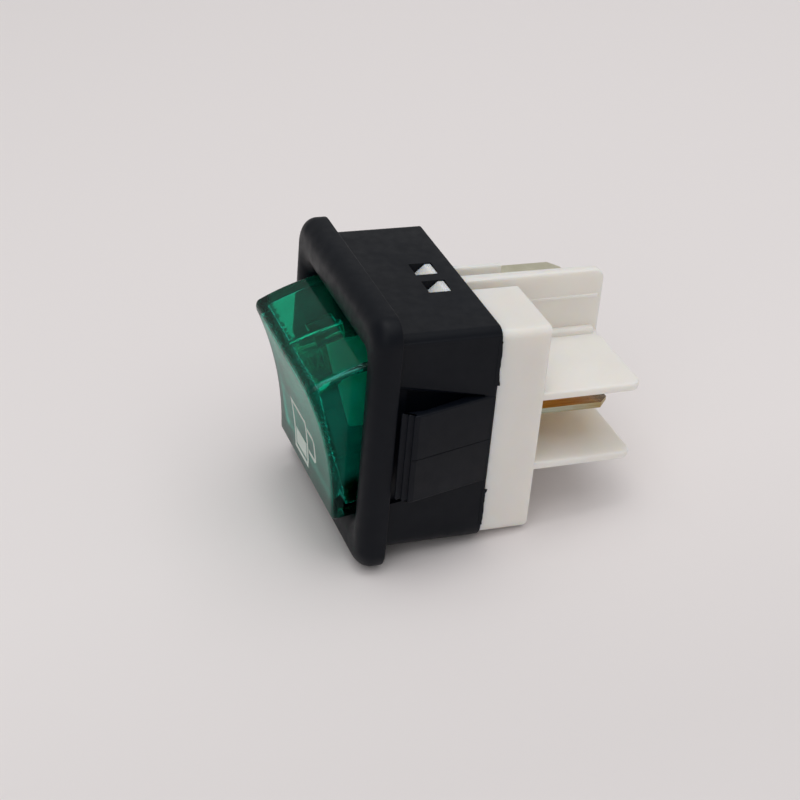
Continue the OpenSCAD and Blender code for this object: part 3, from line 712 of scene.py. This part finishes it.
# ---------------------------------------------------------------- base
def make_base():
    p = 0.85
    rear = 18.2
    outl = [(3.4, 13.65, 0.35), (3.4, 5.05, 0.15), (p, 5.05, 0), (p, 4.0, 0), (-p, 4.0, 0), (-p, 5.05, 0), (-2.45, 5.05, 0.15), (-2.45, 13.42, 0.3),
            (-3.25, 13.42, 0.3), (-3.25, 8.7, 0.1), (-10.2, 8.7, 0.5), (-14.15, 4.75, 0.6), (-14.15, -13.65, 2.0), (14.15, -13.65, 2.0), (14.15, 13.65, 1.0)]
    ob = prism("base_block", round_poly(outl[::-1], 8), 12.1, rear, "y", 0.12, 0.3, 4)
    for s in (-1, 1):                          # soft rear edge along both sides
        arc = [(14.15 - 0.6 + 0.6 * math.cos(t), rear - 0.6 + 0.6 * math.sin(t)) for t in (math.radians(15 * k) for k in range(7))]
        tool = [(14.7, rear - 0.6)] + arc + [(13.55, rear + 0.5), (14.7, rear + 0.5)]
        boolean(ob, prism("c", [(s * x, y) for x, y in tool], -14.5, 14.5, "z"), "DIFFERENCE")
    boolean(ob, box_obj("rail", -3.22, -2.48, 17.6, 18.6, 8.95, 13.38, 0.2), "UNION")
    floor = prism("f", round_poly([(-12.55, -12.4, 0.5), (12.55, -12.4, 0.5), (12.55, 12.4, 0.5), (-12.55, 12.4, 0.5)], 3), 10.4, 12.4, "y", 0.1, 0.0)
    boolean(ob, floor, "UNION")
    for s in (-1, 1):                          # horizontal fins
        plan = round_poly([(-14.12, 14, 0), (14.12, 14, 0), (14.0, 30.62, 1.5), (-14.0, 30.62, 1.5)], 7)
        boolean(ob, prism("fin", plan, s * 4.62 - 0.52, s * 4.62 + 0.48, "z", 0.3, 0.3, 4), "UNION")
    side = round_poly([(11.5, -13.3, 0), (30.75, -13.3, 1.4), (30.75, 13.3, 1.4), (11.5, 13.3, 0)], 8)
    post = prism("post", side, -p, p, "x", 0.3, 0.3, 4)
    for vtx in post.data.vertices:             # thinner towards the rear edge, cut off inside the floor plate
        y = vtx.co.y
        k = 1.0 if y < 18 else 1.0 - 0.3 * (y - 18) / 12.75
        vtx.co.x *= k
    boolean(ob, post, "UNION")
    for s in (-1, 1):                          # rounded bars along the foot of the upright fin
        x0, x1 = sorted((s * 0.2, s * 1.52))
        boolean(ob, prism("ft", round_poly([(x0, 4.7, 0), (x1, 4.7, 0), (x1, 5.92, 0.38 if s > 0 else 0), (x0, 5.92, 0 if s > 0 else 0.38)], 5), 17.5, 29.95, "y", 0.0, 0.35, 4), "UNION")
        # faint step along the upright fin
        lip = [(s * 0.1, 9.2, 0), (s * 0.80, 9.75, 0), (s * 0.80, 10.05, 0.05), (s * 0.1, 10.3, 0)]
        boolean(ob, prism("lip", round_poly(lip, 2), 18.5, 30.1, "y"), "UNION")
    for s in (-1, 1):                          # hooks behind the windows
        z0, z1 = sorted((s * 11.1, s * 12.4))
        boolean(ob, box_obj("h", -3.8, 4.6, 6.5, 11, z0, z1, 0.1), "UNION")
        for i in (-1, 1):
            x = 0.4 + 2.25 * i
            wedge = [(7.05, s * 12.0, 0), (7.05, s * 12.2, 0.1), (8.95, s * 13.93, 0.35), (9.72, s * 13.93, 0.18), (9.72, s * 12.0, 0)]
            boolean(ob, prism("w", round_poly(wedge if s < 0 else wedge[::-1], 5), x - 1.35, x + 1.35, "x", 0.14, 0.14), "UNION")
    for z in (-4.6, 3.4):                      # lamp saddles and resistor rest with V notches
        saddle = [(3.9, 11, 0), (3.9, 7.6, 0.1), (4.35, 7.6, 0.05), (6.5, 9.75, 0.1), (8.65, 7.6, 0.05), (9.1, 7.6, 0.1), (9.1, 11, 0)]
        boolean(ob, prism("s", round_poly(saddle, 3), z, z + 1.2, "z", 0.04, 0.04), "UNION")
    rest = [(11, -11.1, 0), (8.5, -11.1, 0.1), (10.0, -9.6, 0.1), (8.5, -8.1, 0.1), (11, -8.1, 0)]
    boolean(ob, prism("s", round_poly(rest[::-1], 3), 0.1, 1.3, "x", 0.1, 0.1), "UNION")
    screen = [(11, -6.0, 0), (11, 5.0, 0), (-2.8, 5.0, 0.15), (0.4, -6.0, 0.15)]      # between the lamp and the contacts
    boolean(ob, prism("s", round_poly(screen, 3), -2.3, -1.5, "x", 0.12, 0.12), "UNION")
    for s in (-1, 1):                          # slots for the tabs
        boolean(ob, box_obj("c", s * 6.5 - 3.23, s * 6.5 + 3.23, 9, 19, -0.46, 0.46), "DIFFERENCE")
    boolean(ob, box_obj("c", -9.73, -3.27, 9, 12.5, 8.699, 9.56), "DIFFERENCE")
    tidy(ob, 30)
    return ob


# ---------------------------------------------------------------- tabs
def make_tab(name, x, z):
    """The flat tab with rounded rims, chamfered tip and detent hole."""
    w = 3.15
    plan = round_poly([(x - w, 9.6, 0), (x + w, 9.6, 0), (x + w, 27.9, 0.12), (x + w - 1.35, 29.2, 0.12), (x - w + 1.35, 29.2, 0.12), (x - w, 27.9, 0.12)], 4)
    ob = prism(name, plan, z - 0.4, z + 0.4, "z", 0.06, 0.06, 3)
    for vtx in ob.data.vertices:               # thin leading edge
        y = vtx.co.y
        if y > 28.5:
            k = min(1.0, (y - 28.5) / 0.7)
            vtx.co.z = z + (vtx.co.z - z) * (1 - 0.35 * k)
    boolean(ob, turned("c", [(0.85, z - 3), (0.85, z + 3)], "z", (x, 25.2, 0), 32), "DIFFERENCE")
    return ob


def edge_faces(ob):
    """Gives the sheared sides of a tab their own finish, and the underside a painted reflection: a brighter, partly
    diffuse gold that casts a gold glow on the fin below.
    """
    ob.data.materials.append(M_SHEAR)
    ob.data.materials.append(M_PAINTED_GLOW_BRASS)
    for f in ob.data.polygons:
        if f.center.y > 0.0186 and f.normal.z < 0.45:
            f.material_index = 1 if f.normal.z > -0.45 else 2


def make_terminals():
    lamp = make_tab("lamp_tab", 6.5, 0.0)
    boolean(lamp, box_obj("b", 4.5, 8.5, 9.6, 10.4, -1.5, 1.5, 0.1), "UNION")
    tidy(lamp, 30)
    dress(lamp, M_BRASS, "lamp_terminal", "switch_body")
    edge_faces(lamp)
    load = make_tab("load_tab", -6.5, 9.1)
    boolean(load, box_obj("b", -8.4, -4.6, 9.6, 10.4, 5.4, 9.2, 0.1), "UNION")
    tidy(load, 30)
    dress(load, M_DULL, "load_terminal", "switch_body")
    edge_faces(load)
    com = make_tab("common_tab", -6.5, 0.0)
    boolean(com, box_obj("b", -8.9, -4.1, 9.6, 10.4, -1.5, 1.5, 0.1), "UNION")
    for s in (-1, 1):
        ear = box_obj("b", -6.5 + s * 2.0 - 0.4, -6.5 + s * 2.0 + 0.4, 7.4, 10.2, -1.5, 1.5, 0.1)
        boolean(com, ear, "UNION")
    boolean(com, turned("c", [(0.55, -11), (0.55, -2)], "x", (0, 8.2, 0), 32), "DIFFERENCE")
    boolean(com, box_obj("c", -11, -2, 6, 8.2, -0.55, 0.55), "DIFFERENCE")
    tidy(com, 30)
    dress(com, M_BRASS, "common_terminal", "switch_body")
    edge_faces(com)


housing = make_housing()
dress(housing, M_BLACK, "housing", "switch_body")
rocker = make_rocker()
dress(rocker, M_LENS, "rocker_lens", "rocker")
symbol = make_symbol()
tidy(symbol, 30)
symbol.data.transform(Matrix.Scale(MM, 4))
symbol.data.materials.append(M_INK)
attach(symbol, "rocker")
base = make_base()
dress(base, M_WHITE, "base", "switch_body")
make_terminals()

dress_cad("plunger", M_NATURAL)
dress_cad("plunger_spring", M_STEEL)
dress_cad("contact_bridge", M_COPPER)
dress_cad("bridge_rivet", M_SILVER)
dress_cad("load_rivet", M_SILVER)
dress_cad("lamp_glass", M_GLASS)
dress_cad("lamp_electrodes", M_STEEL)
dress_cad("lamp_resistor", M_RESISTOR)
dress_cad("lead_live", M_TIN)
dress_cad("lead_link", M_TIN)
dress_cad("lead_neutral", M_TIN)
dress_cad("lead_sleeve", M_SLEEVE)

# ---------------------------------------------------------------- floor, light, camera
N = Vector((0.0, -0.1386, 0.9903)).normalized()      # the switch lies on the bezel's lower edge and the base's lower rear edge
X = Vector((1, 0, 0))
Y = N.cross(X).normalized()
P0 = Vector((0, 0.0, -16.19)) * MM
stage_m = Matrix((X, Y, N)).transposed().to_4x4()
stage_m.translation = P0

bm = bmesh.new()
bmesh.ops.create_grid(bm, x_segments=1, y_segments=1, size=3.0)
me = bpy.data.meshes.new("floor")
bm.to_mesh(me)
bm.free()
floor = bpy.data.objects.new("floor", me)
floor.matrix_world = stage_m
scene.collection.objects.link(floor)
m, nt, b = material("floor_paper")
v = coords(nt, 1.0)
sl = noise(nt, v, 2.0, 2.0)
col = ramp(nt, sl.outputs["Fac"], [(0.2, (0.845, 0.808, 0.808)), (0.8, (0.875, 0.838, 0.838))])
part = nt.nodes.new("ShaderNodeSeparateXYZ")
nt.links.new(v, part.inputs["Vector"])
# painted shade: the floor is slightly darker towards the camera side (+X)
near_side_painted_shade = ramp(nt, map_range(nt, part.outputs["X"], 0.005, 0.05, 0.0, 1.0), [(0.0, (1.0, 1.0, 1.0)), (1.0, (0.925, 0.925, 0.925))])
mul = nt.nodes.new("ShaderNodeMixRGB")
mul.blend_type = "MULTIPLY"
mul.inputs["Fac"].default_value = 1.0
nt.links.new(col.outputs["Color"], mul.inputs["Color1"])
nt.links.new(near_side_painted_shade.outputs["Color"], mul.inputs["Color2"])
nt.links.new(mul.outputs["Color"], b.inputs["Base Color"])
b.inputs["Roughness"].default_value = 0.75
b.inputs["Specular IOR Level"].default_value = 0.2
floor.data.materials.append(m)


def area(name, loc, target, size, power, color=(1, 1, 1)):
    li = bpy.data.lights.new(name, "AREA")
    li.shape = "RECTANGLE"
    li.size, li.size_y = size
    li.energy = power
    li.color = color
    ob = bpy.data.objects.new(name, li)
    ob.location = Vector(loc)
    d = (Vector(target) - Vector(loc)).normalized()
    ob.rotation_euler = d.to_track_quat("-Z", "Y").to_euler()
    scene.collection.objects.link(ob)
    return ob


area("top_soft", (0.09, -0.02, 0.75), (0, 0, 0), (0.9, 0.9), 2.7, (1.0, 0.99, 0.985))
area("top_strip", (0.0, -0.06, 0.70), (0, 0, 0), (0.26, 0.16), 0.55, (1.0, 0.99, 0.985))
area("side_soft", (0.55, -0.45, 0.40), (0, 0, 0), (0.5, 0.5), 0.6)

w = bpy.data.worlds.new("studio")
w.use_nodes = True
bg = w.node_tree.nodes["Background"]
bg.inputs["Color"].default_value = (1.0, 0.99, 0.985, 1)
bg.inputs["Strength"].default_value = 0.40
scene.world = w

cam = bpy.data.cameras.new("cam")
cam.sensor_fit = "HORIZONTAL"
cam.sensor_width = 36.0
cam.lens = 1828.44 / 800 * 36.0
cam.clip_start = 0.005
cam.clip_end = 20
co = bpy.data.objects.new("cam", cam)
right = Vector((0.3275, 0.9416, 0.0783)).normalized()
fwd = Vector((-0.8046, 0.3213, -0.4994)).normalized()
up = right.cross(fwd).normalized()
fwd = up.cross(right).normalized()
mat = Matrix((right, up, -fwd)).transposed().to_4x4()
mat.translation = Vector((175.98, -64.11, 106.85)) * MM
co.matrix_world = mat
scene.collection.objects.link(co)
scene.camera = co
scene.view_settings.view_transform = "Standard"
scene.view_settings.look = "None"
